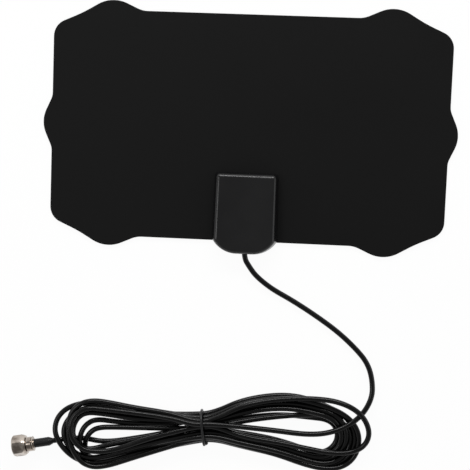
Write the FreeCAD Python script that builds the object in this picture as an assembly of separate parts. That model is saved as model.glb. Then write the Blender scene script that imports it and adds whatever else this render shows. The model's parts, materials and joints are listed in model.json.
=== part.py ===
import FreeCAD, Part
import math
import os

# Flat indoor television antenna, lying face up on a table.
# A die-cut laminated sheet carries two foil elements. A small moulded housing grips the sheet's bottom
# edge and holds the matching board. A thin coax leaves the housing and ends in a threaded plug.
# +X runs along the sheet, +Y towards its top edge, +Z out of its front. All sizes are in millimetres.

# Sheet: straight edges first, then the scallop at each corner, measured in from the straight side edge
SHEET_WIDTH = 225.0
SHEET_HEIGHT = 128.0
FILM = 0.3
FOIL = 0.08
SCALLOP_FOOT = 50.3
SCALLOP_CREST = 32.9
SCALLOP_TAIL = 16.2
CREST_RISE = 7.77
TAIL_DROP = 2.1
CORNER_DROP = 9.23
FOOT_RADIUS = 14.0
CREST_RADIUS = 18.0
TAIL_RADIUS = 80.0
CORNER_RADIUS = 9.7
SIDE_BUMP_HALF = 14.6
SIDE_BUMP_RISE = 6.5
SIDE_FOOT_RADIUS = 9.3
SIDE_CREST_RADIUS = 16.6

# Foil elements
ELEMENT_MARGIN = 12.0
ELEMENT_GAP = 7.0
ELEMENT_SHOULDER = 40.0
ELEMENT_SHOULDER_DROP = 12.0
ELEMENT_RADIUS = 3.0
TAB_WIDTH = 7.0
TAB_END = 4.5

# Housing
HOUSING_LENGTH = 46.6
HOUSING_TOP_WIDTH = 36.2
HOUSING_LOW_WIDTH = 37.8
HOUSING_FLAT = 9.0
SHOULDER_RISE = 8.44
HOUSING_OVERHANG = 7.4
FRONT_HEIGHT_TOP = 6.0
FRONT_HEIGHT_LOW = 9.0
SIDE_DRAFT = 12.0
TOP_DRAFT = 4.0
TOP_BEVEL_WIDTH = 1.5
TOP_BEVEL_DEPTH = 1.3
FOOT_DRAFT = 8.0
HOUSING_EDGE_RADIUS = 2.4
HOUSING_WALL = 1.6
REAR_PLATE = 1.2
REAR_EDGE_RADIUS = 0.5

# Pins of the rear cover, pressed into posts of the front cover through holes in the sheet
PIN_DIAMETER = 2.4
PIN_LENGTH = 3.4
PIN_TIP_CHAMFER = 0.4
PIN_SPACING = 26.0
PIN_TOP_INSET = 7.0
PIN_LOW_RISE = 13.4
POST_DIAMETER = 4.8
PIN_CLEARANCE = 0.05
SHEET_HOLE_CLEARANCE = 0.2

# Matching board and what it carries
BOARD_WIDTH = 19.0
BOARD_LENGTH = 13.0
BOARD_THICKNESS = 1.0
BOARD_RISE = 12.5
FEED_SPACING = 13.0
FEED_INSET = 3.0
RIVET_DIAMETER = 1.8
RIVET_BORE = 1.0
RIVET_HEAD = 3.0
RIVET_HEAD_THICKNESS = 0.35
RIVET_CLEARANCE = 0.03
CORE_WIDTH = 5.0
CORE_LENGTH = 4.4
CORE_HEIGHT = 2.6
CORE_HOLE = 1.2
CORE_HOLE_SPACING = 2.4
CORE_EDGE_RADIUS = 0.4
WINDING_WIRE = 0.4
WINDING_LOOP = 1.6

# Coax and the strain relief inside the housing
CABLE_DIAMETER = 3.0
CABLE_Z = 4.0
CABLE_HOLE_CLEARANCE = 0.1
COLLAR_DIAMETER = 5.0
COLLAR_LENGTH = 3.6
COLLAR_CLEARANCE = 0.02
COLLAR_EDGE = 0.4
RIB_THICKNESS = 1.2
RIB_WIDTH = 11.0
SEAT_CLEARANCE = 0.1
JACKET_INSIDE = 10.0
DIELECTRIC_DIAMETER = 1.6
DIELECTRIC_LENGTH = 1.6
CONDUCTOR_DIAMETER = 0.5
CONDUCTOR_FOOT = 1.6

# Plug: stations run along its axis from the nut's open end
PLUG_X = -130.5
PLUG_Y = -189.4
PLUG_ANGLE = 11.5
NUT_ACROSS_FLATS = 11.0
NUT_LENGTH = 8.0
NUT_BORE = 8.8
NUT_MOUTH_CHAMFER = 0.5
NUT_COLLAR = 1.5
NUT_FRONT_CHAMFER = 0.9
NUT_REAR_CHAMFER = 2.0
NUT_CHAMFER_RISE = 1.1
NUT_AXIAL_PLAY = 0.15
NUT_RADIAL_PLAY = 0.08
POST_FLANGE_DIAMETER = 8.2
POST_FLANGE = 1.2
POST_NECK_DIAMETER = 6.6
POST_TAIL_DIAMETER = 4.0
POST_TAIL = 3.2
PLUG_BODY_DIAMETER = 8.4
PLUG_BODY = 3.0
PLUG_GROOVE_DIAMETER = 6.4
PLUG_GROOVE = 0.5
PLUG_RING_DIAMETER = 8.6
PLUG_RING = 0.5
PLUG_RING_EDGE = 0.15
PLUG_NECK_DIAMETER = 5.2
PLUG_NECK = 0.6
PLUG_BARREL = 4.3
PLUG_EDGE = 0.3
SLEEVE_WALL = 0.5
SLEEVE_LENGTH = 10.6
SLEEVE_TAPER = 2.0
SLEEVE_LIP = 0.25
INSULATOR_DIAMETER = 2.4
CENTRE_PIN_DIAMETER = 1.0
CENTRE_PIN_RECESS = 0.8
CENTRE_PIN_TIP = 0.3
CENTRE_PIN_TAIL_DIAMETER = 0.6
PLUG_FIT = 0.02

# Hank: the tied turns as one soft solid, and the wire tie round its waist
HANK_HEIGHT = 8.5
HANK_EDGE_RADIUS = 2.0
TIE_WIRE = 1.5
TIE_X = -18.7
TIE_Y = -172.3
TIE_SPAN = 22.0
TIE_ANGLE = 6.8
TIE_CORNER_RADIUS = 3.0
TIE_CLEARANCE = 0.15
TIE_TWIST = 2.4
TIE_TWIST_DIAMETER = 2.2

# Corners of the hank's outline and of its two eyes: x, y and the radius that rounds each
HANK_OUTLINE = [
    (-21.0, -163.6, 12.0), (16.6, -150.0, 40.0), (60.2, -150.0, 25.0), (77.8, -166.3, 9.0),
    (77.8, -174.9, 9.0), (66.0, -187.3, 15.0), (50.0, -196.0, 14.0), (6.5, -182.5, 50.0),
    (-23.5, -181.8, 15.0), (-64.0, -199.0, 40.0), (-84.0, -202.6, 14.0), (-100.0, -192.5, 14.0),
    (-107.8, -180.5, 9.0), (-107.8, -169.8, 9.0), (-88.0, -158.4, 25.0), (-66.0, -158.4, 30.0),
    (-43.0, -163.2, 40.0),
]
HANK_EYES = [
    [
        (0.3, -171.4, 0.8), (34.5, -165.0, 20.0), (57.5, -170.0, 4.0), (52.0, -180.0, 4.0),
        (16.0, -174.6, 30.0),
    ],
    [(-84.5, -181.7, 0.8), (-70.0, -177.7, 10.0), (-55.0, -179.0, 0.8), (-70.0, -183.0, 20.0)],
]

# Route of the coax from just outside its exit to the hank: x, y and height of its axis
LEAD_ROUTE = [
    (0.0, -74.6, 4.0), (4.4, -82.2, 3.1), (13.2, -88.9, 1.8), (24.0, -94.4, 1.5), (37.0, -101.0, 1.5),
    (52.9, -110.8, 1.5), (68.3, -123.8, 1.5), (77.0, -137.2, 1.7), (77.4, -150.2, 3.2), (70.6, -162.4, 5.4),
    (62.4, -167.4, 6.2),
]

# Share of the shorter run that an arc takes from each side of a soft corner
ARC_SHARE = 0.45

# Distance below which two points count as one
TOUCH = 1e-4


def vector(x, y, z=0.0):
    return FreeCAD.Vector(x, y, z)


def corner_arc(before, corner, after, radius):
    """Start, middle, end and centre of the tangent arc that rounds a corner."""
    arriving = (corner - before).normalize()
    leaving = (after - corner).normalize()
    half_turn = arriving.getAngle(leaving) / 2
    setback = radius * math.tan(half_turn)
    inward = (leaving - arriving).normalize()
    centre = corner + inward * (radius / math.cos(half_turn))
    return corner - arriving * setback, centre - inward * radius, corner + leaving * setback, centre


def closed_loop(points, radii):
    """Closed wire of straight runs with a tangent arc at each corner. It starts with the last run."""
    arcs = []
    for i, corner in enumerate(points):
        after = points[(i + 1) % len(points)]
        arcs.append(corner_arc(points[i - 1], corner, after, radii[i]))
    edges = []
    for i, (start, middle, end, centre) in enumerate(arcs):
        edges.append(Part.LineSegment(arcs[i - 1][2], start).toShape())
        edges.append(Part.Arc(start, middle, end).toShape())
    return Part.Wire(edges)


def slab(corners, z, thickness):
    """Flat solid whose outline is rounded at each (x, y, radius) corner."""
    points = [vector(x, y, z) for x, y, radius in corners]
    outline = closed_loop(points, [radius for x, y, radius in corners])
    return Part.Face(outline).extrude(vector(0, 0, thickness))


def soft_path(points):
    """Straight runs joined by the largest tangent arcs that the runs allow, and the arcs' radii."""
    edges = []
    radii = []
    last = points[0]
    for before, corner, after in zip(points, points[1:], points[2:]):
        run = min(corner.distanceToPoint(before), after.distanceToPoint(corner))
        half_turn = (corner - before).getAngle(after - corner) / 2
        radius = ARC_SHARE * run / math.tan(half_turn)
        start, middle, end, centre = corner_arc(before, corner, after, radius)
        edges.append(Part.LineSegment(last, start).toShape())
        edges.append(Part.Arc(start, middle, end).toShape())
        radii.append(radius)
        last = end
    edges.append(Part.LineSegment(last, points[-1]).toShape())
    return Part.Wire(edges), radii


def tube(points, diameter):
    """Round rod that follows the points with soft corners."""
    path, radii = soft_path(points)
    section = Part.Wire(Part.makeCircle(diameter / 2, points[0], points[1] - points[0]))
    return path.makePipeShell([section], True, False), path, radii


def rod(x, y, z, diameter, height):
    """Upright cylinder."""
    return Part.makeCylinder(diameter / 2, height, vector(x, y, z))


def turned(profile):
    """Solid turned about the X axis from (station, radius) corners, closed along the axis or the bore."""
    points = [vector(station, radius) for station, radius in profile]
    face = Part.Face(Part.makePolygon(points + points[:1]))
    return face.revolve(vector(0, 0), vector(1, 0), 360)


# Levels through the thickness
BACK_FILM_Z = REAR_PLATE
FRONT_FILM_Z = BACK_FILM_Z + FILM
SHEET_FRONT_Z = FRONT_FILM_Z + FILM
BOARD_TOP_Z = SHEET_FRONT_Z + BOARD_THICKNESS


def scallop_crest_top():
    """Height of a corner scallop's rounded crest above the middle of the sheet."""
    foot = vector(SHEET_WIDTH / 2 - SCALLOP_FOOT, SHEET_HEIGHT / 2)
    crest = vector(SHEET_WIDTH / 2 - SCALLOP_CREST, SHEET_HEIGHT / 2 + CREST_RISE)
    tail = vector(SHEET_WIDTH / 2 - SCALLOP_TAIL, SHEET_HEIGHT / 2 - TAIL_DROP)
    return corner_arc(foot, crest, tail, CREST_RADIUS)[3].y + CREST_RADIUS


# The origin is midway between the sheet's highest crest and the housing's foot
DEPTH = scallop_crest_top() + SHEET_HEIGHT / 2 + HOUSING_OVERHANG
SHEET_Y = DEPTH / 2 - scallop_crest_top()
SHEET_EDGE_Y = SHEET_Y - SHEET_HEIGHT / 2
FOOT_Y = SHEET_EDGE_Y - HOUSING_OVERHANG
HOUSING_TOP_Y = FOOT_Y + HOUSING_LENGTH
BOARD_LOW_Y = FOOT_Y + BOARD_RISE
FEED_Y = BOARD_LOW_Y + BOARD_LENGTH - FEED_INSET
PIN_PLACES = [
    (side * PIN_SPACING / 2, y)
    for side in (-1, 1)
    for y in (HOUSING_TOP_Y - PIN_TOP_INSET, FOOT_Y + PIN_LOW_RISE)
]
FEED_PLACES = [(side * FEED_SPACING / 2, FEED_Y) for side in (-1, 1)]


def sheet_corners():
    """Die-cut outline: a scallop at each corner and a low bump in the middle of each side."""
    half_width = SHEET_WIDTH / 2
    half_height = SHEET_HEIGHT / 2
    quarter = [
        (half_width - SCALLOP_FOOT, half_height, FOOT_RADIUS),
        (half_width - SCALLOP_CREST, half_height + CREST_RISE, CREST_RADIUS),
        (half_width - SCALLOP_TAIL, half_height - TAIL_DROP, TAIL_RADIUS),
        (half_width, half_height - CORNER_DROP, CORNER_RADIUS),
        (half_width, SIDE_BUMP_HALF, SIDE_FOOT_RADIUS),
    ]
    side_crest = (half_width + SIDE_BUMP_RISE, 0.0, SIDE_CREST_RADIUS)
    right = quarter + [side_crest] + [(x, -y, radius) for x, y, radius in reversed(quarter)]
    left = [(-x, y, radius) for x, y, radius in reversed(right)]
    return [(x, y + SHEET_Y, radius) for x, y, radius in right + left]


def film(z):
    """One film of the laminate, with holes for the cover's pins and the feed rivets."""
    sheet = slab(sheet_corners(), z, FILM)
    for x, y in PIN_PLACES:
        sheet = sheet.cut(rod(x, y, z, PIN_DIAMETER + 2 * SHEET_HOLE_CLEARANCE, FILM))
    for x, y in FEED_PLACES:
        sheet = sheet.cut(rod(x, y, z, RIVET_DIAMETER + 2 * RIVET_CLEARANCE, FILM))
    return sheet


def element(side):
    """Foil arm: a tab under the board that rises clear of the housing and fans out along the sheet."""
    tab_middle = FEED_SPACING / 2
    outer = SHEET_WIDTH / 2 - ELEMENT_MARGIN
    top = SHEET_Y + SHEET_HEIGHT / 2 - ELEMENT_MARGIN
    low = SHEET_EDGE_Y + ELEMENT_MARGIN
    fan_y = HOUSING_TOP_Y + ELEMENT_GAP
    corners = [
        (tab_middle - TAB_WIDTH / 2, FEED_Y - TAB_END, ELEMENT_RADIUS),
        (tab_middle + TAB_WIDTH / 2, FEED_Y - TAB_END, ELEMENT_RADIUS),
        (tab_middle + TAB_WIDTH / 2, fan_y, ELEMENT_RADIUS),
        (outer, low, ELEMENT_RADIUS),
        (outer, top - ELEMENT_SHOULDER_DROP, ELEMENT_RADIUS),
        (outer - ELEMENT_SHOULDER, top, ELEMENT_RADIUS),
        (tab_middle - TAB_WIDTH / 2, fan_y + ELEMENT_GAP, ELEMENT_RADIUS),
    ]
    foil = slab([(side * x, y, radius) for x, y, radius in corners], FRONT_FILM_Z - FOIL, FOIL)
    hole = rod(side * tab_middle, FEED_Y, FRONT_FILM_Z - FOIL, RIVET_DIAMETER + 2 * RIVET_CLEARANCE, FOIL)
    return foil.cut(hole)


def back_sheet():
    """Back film, with shallow seats that the foil elements lie in."""
    return film(BACK_FILM_Z).cut(element(-1)).cut(element(1))


def housing_outline(side_inset, top_inset, foot_inset, z):
    """Housing outline: tapering sides, square top corners and a foot of two arcs with a short flat."""
    half_top = HOUSING_TOP_WIDTH / 2 - side_inset
    half_low = HOUSING_LOW_WIDTH / 2 - side_inset
    half_flat = HOUSING_FLAT / 2
    top = HOUSING_TOP_Y - top_inset
    foot = FOOT_Y + foot_inset
    shoulder = FOOT_Y + SHOULDER_RISE
    reach = half_low - half_flat
    rise = shoulder - foot
    radius = (reach ** 2 + rise ** 2) / (2 * rise)
    middle_angle = math.atan2(reach, radius - rise) / 2
    bulge_x = half_flat + radius * math.sin(middle_angle)
    bulge_y = foot + radius * (1 - math.cos(middle_angle))

    def line(x1, y1, x2, y2):
        return Part.LineSegment(vector(x1, y1, z), vector(x2, y2, z)).toShape()

    def foot_arc(side):
        shoulder_point = vector(side * half_low, shoulder, z)
        bulge = vector(side * bulge_x, bulge_y, z)
        return Part.Arc(shoulder_point, bulge, vector(side * half_flat, foot, z)).toShape()

    return Part.Wire(Part.__sortEdges__([
        line(-half_top, top, half_top, top),
        line(half_top, top, half_low, shoulder),
        foot_arc(1),
        line(half_flat, foot, -half_flat, foot),
        foot_arc(-1),
        line(-half_low, shoulder, -half_top, top),
    ]))


def front_z(y):
    """Height of the housing's sloping front."""
    share = (HOUSING_TOP_Y - y) / HOUSING_LENGTH
    return SHEET_FRONT_Z + FRONT_HEIGHT_TOP + share * (FRONT_HEIGHT_LOW - FRONT_HEIGHT_TOP)


def below_front(drop):
    """Everything under the sloping front, lowered by drop."""
    side = -HOUSING_LOW_WIDTH
    low = FOOT_Y - HOUSING_OVERHANG
    high = HOUSING_TOP_Y + HOUSING_OVERHANG
    corners = [
        vector(side, low, 0),
        vector(side, high, 0),
        vector(side, high, front_z(high) - drop),
        vector(side, low, front_z(low) - drop),
    ]
    return Part.Face(Part.makePolygon(corners + corners[:1])).extrude(vector(2 * HOUSING_LOW_WIDTH, 0, 0))


def above_bevel(drop):
    """Wedge that bevels the housing's top edge, lowered by drop with the front."""
    side = -HOUSING_LOW_WIDTH
    top = HOUSING_TOP_Y - FRONT_HEIGHT_TOP * math.tan(math.radians(TOP_DRAFT))
    slope = TOP_BEVEL_DEPTH / TOP_BEVEL_WIDTH
    low = top - TOP_BEVEL_WIDTH
    high = top + TOP_BEVEL_WIDTH
    corners = [
        vector(side, low, front_z(low) - drop),
        vector(side, high, front_z(low) - slope * (high - low) - drop),
        vector(side, high, front_z(low) + FRONT_HEIGHT_LOW),
        vector(side, low, front_z(low) + FRONT_HEIGHT_LOW),
    ]
    return Part.Face(Part.makePolygon(corners + corners[:1])).extrude(vector(2 * HOUSING_LOW_WIDTH, 0, 0))


def drafted_block(inset):
    """Housing walls leaning in from the sheet's face, cut off by the sloping front and its top bevel."""
    rise = FRONT_HEIGHT_LOW + HOUSING_WALL
    base = housing_outline(inset, inset, inset, SHEET_FRONT_Z)
    crown = housing_outline(
        inset + rise * math.tan(math.radians(SIDE_DRAFT)),
        inset + rise * math.tan(math.radians(TOP_DRAFT)),
        inset + rise * math.tan(math.radians(FOOT_DRAFT)),
        SHEET_FRONT_Z + rise)
    walls = Part.makeLoft([base, crown], True, True)
    return walls.common(below_front(inset)).cut(above_bevel(inset))


def skirt(inset):
    """Part of the front cover that drops past the sheet's bottom edge to meet the rear cover."""
    drop = SHEET_FRONT_Z - REAR_PLATE
    block = Part.Face(housing_outline(inset, inset, inset, REAR_PLATE)).extrude(vector(0, 0, drop))
    limit = Part.makeBox(
        2 * HOUSING_LOW_WIDTH, HOUSING_LENGTH, drop,
        vector(-HOUSING_LOW_WIDTH, SHEET_EDGE_Y - SEAT_CLEARANCE - HOUSING_LENGTH, REAR_PLATE))
    return block.common(limit)


def corner_edges(solid):
    """Edges that climb from the base at the housing's top corners and shoulders."""
    base = solid.BoundBox.ZMin + REAR_PLATE / 2
    lowest = FOOT_Y + SHOULDER_RISE / 2
    chosen = []
    for edge in solid.Edges:
        heights = [vertex.Z for vertex in edge.Vertexes]
        if min(heights) < base < max(heights) and edge.BoundBox.YMin > lowest:
            chosen.append(edge)
    return chosen


def crown_edges(solid):
    """Edges that stand off the base: the top corners, the shoulders, the bevel and the front's rim."""
    base = solid.BoundBox.ZMin + TOUCH
    lowest = FOOT_Y + SHOULDER_RISE / 2
    chosen = []
    for edge in solid.Edges:
        box = edge.BoundBox
        smooth_line_of_foot = box.ZMin < base and box.YMax < lowest
        if box.ZMax > base and not smooth_line_of_foot:
            chosen.append(edge)
    return chosen


def cable_rib():
    """Cross rib that stops the collar from being pushed in, with a slot that drops over the cable."""
    slot_width = CABLE_DIAMETER + 2 * CABLE_HOLE_CLEARANCE
    y = COLLAR_END_Y + SEAT_CLEARANCE
    z = SHEET_FRONT_Z + SEAT_CLEARANCE
    rib = Part.makeBox(RIB_WIDTH, RIB_THICKNESS, FRONT_HEIGHT_LOW, vector(-RIB_WIDTH / 2, y, z))
    slot = Part.makeBox(slot_width, RIB_THICKNESS, CABLE_Z - z, vector(-slot_width / 2, y, z))
    slot_end = Part.makeCylinder(slot_width / 2, RIB_THICKNESS, vector(0, y, CABLE_Z), vector(0, 1, 0))
    return rib.cut(slot).cut(slot_end).common(drafted_block(HOUSING_WALL / 2))


def front_cover():
    """Moulded front half: a drafted shell with four posts, a cable hole and a rib behind the collar."""
    block = drafted_block(0.0)
    block = block.makeFillet(HOUSING_EDGE_RADIUS, crown_edges(block))
    shell = block.fuse(skirt(0.0)).cut(drafted_block(HOUSING_WALL)).cut(skirt(HOUSING_WALL))
    for x, y in PIN_PLACES:
        post = rod(x, y, SHEET_FRONT_Z, POST_DIAMETER, FRONT_HEIGHT_LOW).common(block)
        shell = shell.fuse(post)
    shell = shell.fuse(cable_rib())
    for x, y in PIN_PLACES:
        depth = PIN_LENGTH + SEAT_CLEARANCE
        shell = shell.cut(rod(x, y, SHEET_FRONT_Z, PIN_DIAMETER + 2 * PIN_CLEARANCE, depth))
    hole_radius = CABLE_DIAMETER / 2 + CABLE_HOLE_CLEARANCE
    start = vector(0, FOOT_Y - HOUSING_WALL, CABLE_Z)
    hole = Part.makeCylinder(hole_radius, COLLAR_END_Y - start.y, start, vector(0, 1, 0))
    return shell.cut(hole).removeSplitter()


def rear_cover():
    """Thin back plate with four pins that go through the sheet into the front cover's posts."""
    plate = Part.Face(housing_outline(0.0, 0.0, 0.0, 0.0)).extrude(vector(0, 0, REAR_PLATE))
    plate = plate.makeFillet(HOUSING_EDGE_RADIUS, corner_edges(plate))
    rim = [e for e in plate.Edges if e.BoundBox.ZMax < REAR_PLATE / 2]
    plate = plate.makeFillet(REAR_EDGE_RADIUS, rim)
    length = SHEET_FRONT_Z + PIN_LENGTH - REAR_PLATE
    for x, y in PIN_PLACES:
        pin = rod(x, y, REAR_PLATE, PIN_DIAMETER, length)
        tip = [e for e in pin.Edges if e.BoundBox.ZMin > SHEET_FRONT_Z]
        plate = plate.fuse(pin.makeChamfer(PIN_TIP_CHAMFER, tip))
    for x, y in FEED_PLACES:
        pocket_depth = RIVET_HEAD_THICKNESS + SEAT_CLEARANCE
        pocket = rod(x, y, REAR_PLATE - pocket_depth, RIVET_HEAD + 2 * SHEET_HOLE_CLEARANCE, pocket_depth)
        plate = plate.cut(pocket)
    return plate.removeSplitter()


def matching_board():
    """Small circuit board on the sheet's front, with holes for the feed rivets."""
    corner = vector(-BOARD_WIDTH / 2, BOARD_LOW_Y, SHEET_FRONT_Z)
    board = Part.makeBox(BOARD_WIDTH, BOARD_LENGTH, BOARD_THICKNESS, corner)
    for x, y in FEED_PLACES:
        board = board.cut(rod(x, y, SHEET_FRONT_Z, RIVET_DIAMETER + 2 * RIVET_CLEARANCE, BOARD_THICKNESS))
    return board


def feed_rivets():
    """Two tubular rivets that clamp the foil tabs to the board."""
    rivets = []
    for x, y in FEED_PLACES:
        rivet = rod(x, y, BACK_FILM_Z, RIVET_DIAMETER, BOARD_TOP_Z - BACK_FILM_Z)
        for z in (BACK_FILM_Z - RIVET_HEAD_THICKNESS, BOARD_TOP_Z):
            rivet = rivet.fuse(rod(x, y, z, RIVET_HEAD, RIVET_HEAD_THICKNESS))
        span = BOARD_TOP_Z - BACK_FILM_Z + 2 * RIVET_HEAD_THICKNESS
        rivets.append(rivet.cut(rod(x, y, BACK_FILM_Z - RIVET_HEAD_THICKNESS, RIVET_BORE, span)))
    return Part.makeCompound(rivets)


CORE_LOW_Y = BOARD_LOW_Y + (BOARD_LENGTH - CORE_LENGTH) / 2
CORE_HOLE_Z = BOARD_TOP_Z + CORE_HEIGHT / 2


def balun_core():
    """Ferrite block with two holes for the winding."""
    corner = vector(-CORE_WIDTH / 2, CORE_LOW_Y, BOARD_TOP_Z)
    block = Part.makeBox(CORE_WIDTH, CORE_LENGTH, CORE_HEIGHT, corner)
    long_edges = [e for e in block.Edges if e.BoundBox.YLength > CORE_LENGTH / 2]
    block = block.makeFillet(CORE_EDGE_RADIUS, long_edges)
    for side in (-1, 1):
        start = vector(side * CORE_HOLE_SPACING / 2, CORE_LOW_Y, CORE_HOLE_Z)
        block = block.cut(Part.makeCylinder(CORE_HOLE / 2, CORE_LENGTH, start, vector(0, 1, 0)))
    return block


def balun_winding():
    """One turn of wire through both holes of the core, with its ends bent down to the board."""
    x = CORE_HOLE_SPACING / 2
    low = CORE_LOW_Y - WINDING_LOOP
    high = CORE_LOW_Y + CORE_LENGTH + WINDING_LOOP
    foot = BOARD_TOP_Z
    points = [
        vector(-x, low, foot), vector(-x, low, CORE_HOLE_Z), vector(-x, high, CORE_HOLE_Z),
        vector(x, high, CORE_HOLE_Z), vector(x, low, CORE_HOLE_Z), vector(x, low, foot),
    ]
    return tube(points, WINDING_WIRE)[0]


# Stations of the cable's stripped end along Y
COLLAR_START_Y = FOOT_Y + HOUSING_WALL + CABLE_Z * math.tan(math.radians(FOOT_DRAFT)) + SEAT_CLEARANCE
COLLAR_END_Y = COLLAR_START_Y + COLLAR_LENGTH
JACKET_END_Y = FOOT_Y + JACKET_INSIDE
DIELECTRIC_END_Y = JACKET_END_Y + DIELECTRIC_LENGTH


def cable_collar():
    """Bush crimped on the cable, which can't pass the hole in the housing's wall."""
    profile = [
        (0, CABLE_DIAMETER / 2 + COLLAR_CLEARANCE),
        (0, COLLAR_DIAMETER / 2 - COLLAR_EDGE),
        (COLLAR_EDGE, COLLAR_DIAMETER / 2),
        (COLLAR_LENGTH - COLLAR_EDGE, COLLAR_DIAMETER / 2),
        (COLLAR_LENGTH, COLLAR_DIAMETER / 2 - COLLAR_EDGE),
        (COLLAR_LENGTH, CABLE_DIAMETER / 2 + COLLAR_CLEARANCE),
    ]
    collar = turned(profile)
    quarter_turn = FreeCAD.Rotation(vector(0, 0, 1), 90)
    collar.Placement = FreeCAD.Placement(vector(0, COLLAR_START_Y, CABLE_Z), quarter_turn)
    return collar


def cable_insulator():
    """Bared dielectric beyond the end of the jacket."""
    start = vector(0, JACKET_END_Y, CABLE_Z)
    return Part.makeCylinder(DIELECTRIC_DIAMETER / 2, DIELECTRIC_LENGTH, start, vector(0, 1, 0))


def cable_conductor():
    """Centre wire that bends down on to the board."""
    pad_z = BOARD_TOP_Z + CONDUCTOR_DIAMETER / 2
    fall = CABLE_Z - pad_z
    points = [
        vector(0, DIELECTRIC_END_Y, CABLE_Z),
        vector(0, DIELECTRIC_END_Y + fall, CABLE_Z),
        vector(0, DIELECTRIC_END_Y + 2 * fall, pad_z),
        vector(0, DIELECTRIC_END_Y + 2 * fall + CONDUCTOR_FOOT, pad_z),
    ]
    return tube(points, CONDUCTOR_DIAMETER)[0]


def coax_lead():
    """Coax from its stripped end in the housing, out of the foot and across the table to the hank."""
    points = [vector(0, JACKET_END_Y, CABLE_Z)] + [vector(*point) for point in LEAD_ROUTE]
    lead, path, radii = tube(points, CABLE_DIAMETER)
    section = math.pi * CABLE_DIAMETER ** 2 / 4
    print("lead radii", [round(radius, 1) for radius in radii])
    print("lead volume", round(lead.Volume, 1), "section times length", round(section * path.Length, 1))
    return lead


def along_plug(shape):
    """Put a solid made along X on the plug's axis, with the nut resting on one of its flats."""
    turn = FreeCAD.Rotation(vector(0, 0, 1), PLUG_ANGLE)
    shape.Placement = FreeCAD.Placement(vector(PLUG_X, PLUG_Y, NUT_ACROSS_FLATS / 2), turn)
    return shape


# Stations along the plug's axis
POST_FLANGE_END = NUT_LENGTH - NUT_COLLAR - NUT_AXIAL_PLAY
POST_FLANGE_START = POST_FLANGE_END - POST_FLANGE
BODY_START = NUT_LENGTH + NUT_AXIAL_PLAY
GROOVE_START = BODY_START + PLUG_BODY
RING_START = GROOVE_START + PLUG_GROOVE
NECK_START = RING_START + PLUG_RING
NECK_END = NECK_START + PLUG_NECK
BARREL_END = NECK_END + PLUG_BARREL
POST_END = BODY_START + POST_TAIL
SLEEVE_END = NECK_END + SLEEVE_LENGTH
BARREL_DIAMETER = CABLE_DIAMETER + 2 * PLUG_FIT + 2 * SLEEVE_WALL


def coupling_nut():
    """Hexagon nut: chamfered ends, a bore for the socket's thread and a collar that traps the post."""
    corner_radius = NUT_ACROSS_FLATS / math.sqrt(3)
    corners = []
    for i in range(6):
        angle = math.radians(60 * i)
        corners.append(vector(0, corner_radius * math.cos(angle), corner_radius * math.sin(angle)))
    hexagon = Part.Face(Part.makePolygon(corners + corners[:1])).extrude(vector(NUT_LENGTH, 0, 0))
    hexagon = hexagon.common(turned([
        (0, 0),
        (0, corner_radius - NUT_CHAMFER_RISE),
        (NUT_FRONT_CHAMFER, corner_radius),
        (NUT_LENGTH - NUT_REAR_CHAMFER, corner_radius),
        (NUT_LENGTH, corner_radius - NUT_CHAMFER_RISE),
        (NUT_LENGTH, 0),
    ]))
    hole_radius = POST_NECK_DIAMETER / 2 + NUT_RADIAL_PLAY
    bore = turned([
        (0, 0),
        (0, NUT_BORE / 2 + NUT_MOUTH_CHAMFER),
        (NUT_MOUTH_CHAMFER, NUT_BORE / 2),
        (NUT_LENGTH - NUT_COLLAR, NUT_BORE / 2),
        (NUT_LENGTH - NUT_COLLAR, hole_radius),
        (NUT_LENGTH, hole_radius),
        (NUT_LENGTH, 0),
    ])
    return along_plug(hexagon.cut(bore))


def connector_post():
    """Turned post: its flange stands inside the nut, and its tail is pressed into the body."""
    bore = INSULATOR_DIAMETER / 2 + PLUG_FIT
    return along_plug(turned([
        (POST_FLANGE_START, bore),
        (POST_FLANGE_START, POST_FLANGE_DIAMETER / 2 - PLUG_EDGE),
        (POST_FLANGE_START + PLUG_EDGE, POST_FLANGE_DIAMETER / 2),
        (POST_FLANGE_END, POST_FLANGE_DIAMETER / 2),
        (POST_FLANGE_END, POST_NECK_DIAMETER / 2),
        (BODY_START, POST_NECK_DIAMETER / 2),
        (BODY_START, POST_TAIL_DIAMETER / 2),
        (POST_END, POST_TAIL_DIAMETER / 2),
        (POST_END, bore),
    ]))


def connector_body():
    """Turned body behind the nut: a plain band, a groove, a thin ring, a neck and the cable's barrel."""
    post_bore = POST_TAIL_DIAMETER / 2 + PLUG_FIT
    cable_bore = CABLE_DIAMETER / 2 + PLUG_FIT
    return along_plug(turned([
        (BODY_START, post_bore),
        (BODY_START, PLUG_BODY_DIAMETER / 2 - PLUG_EDGE),
        (BODY_START + PLUG_EDGE, PLUG_BODY_DIAMETER / 2),
        (GROOVE_START - PLUG_EDGE, PLUG_BODY_DIAMETER / 2),
        (GROOVE_START, PLUG_BODY_DIAMETER / 2 - PLUG_EDGE),
        (GROOVE_START, PLUG_GROOVE_DIAMETER / 2),
        (RING_START, PLUG_GROOVE_DIAMETER / 2),
        (RING_START, PLUG_RING_DIAMETER / 2 - PLUG_RING_EDGE),
        (RING_START + PLUG_RING_EDGE, PLUG_RING_DIAMETER / 2),
        (NECK_START - PLUG_RING_EDGE, PLUG_RING_DIAMETER / 2),
        (NECK_START, PLUG_RING_DIAMETER / 2 - PLUG_RING_EDGE),
        (NECK_START, PLUG_NECK_DIAMETER / 2),
        (NECK_END, PLUG_NECK_DIAMETER / 2),
        (NECK_END, BARREL_DIAMETER / 2),
        (BARREL_END, BARREL_DIAMETER / 2),
        (BARREL_END, cable_bore),
        (POST_END + PLUG_FIT, cable_bore),
        (POST_END + PLUG_FIT, post_bore),
    ]))


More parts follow.
